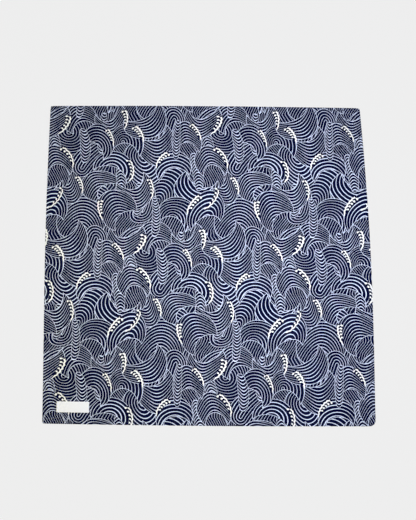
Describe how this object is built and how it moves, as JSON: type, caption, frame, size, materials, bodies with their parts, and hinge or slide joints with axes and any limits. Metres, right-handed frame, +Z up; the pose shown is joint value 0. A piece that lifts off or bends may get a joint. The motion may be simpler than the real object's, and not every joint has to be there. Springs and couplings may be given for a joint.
{
  "type": "bandana",
  "caption": "Square cotton bandana laid flat, printed with dark blue waves, with narrow turned hems and a small bare woven label near one corner.",
  "frame": {"origin": "middle of the cloth's outline, on the surface that it lies on", "axes": "+Z up out of the printed face, +X along the near edge to the right, +Y away from the viewer towards the far edge"},
  "size_m": [0.5596, 0.5526, 0.0038],
  "materials": {
    "printed_cotton": "matt plain-weave cotton, dark blue and off-white print",
    "turned_cotton": "the same cotton, turned twice and stitched",
    "label_weave": "fine white satin-edged weave, bare"
  },
  "bodies": {
    "root": {"panel": "printed_cotton", "hem_near": "turned_cotton", "hem_far": "turned_cotton", "hem_left": "turned_cotton", "hem_right": "turned_cotton", "label": "label_weave"}
  },
  "joints": []
}
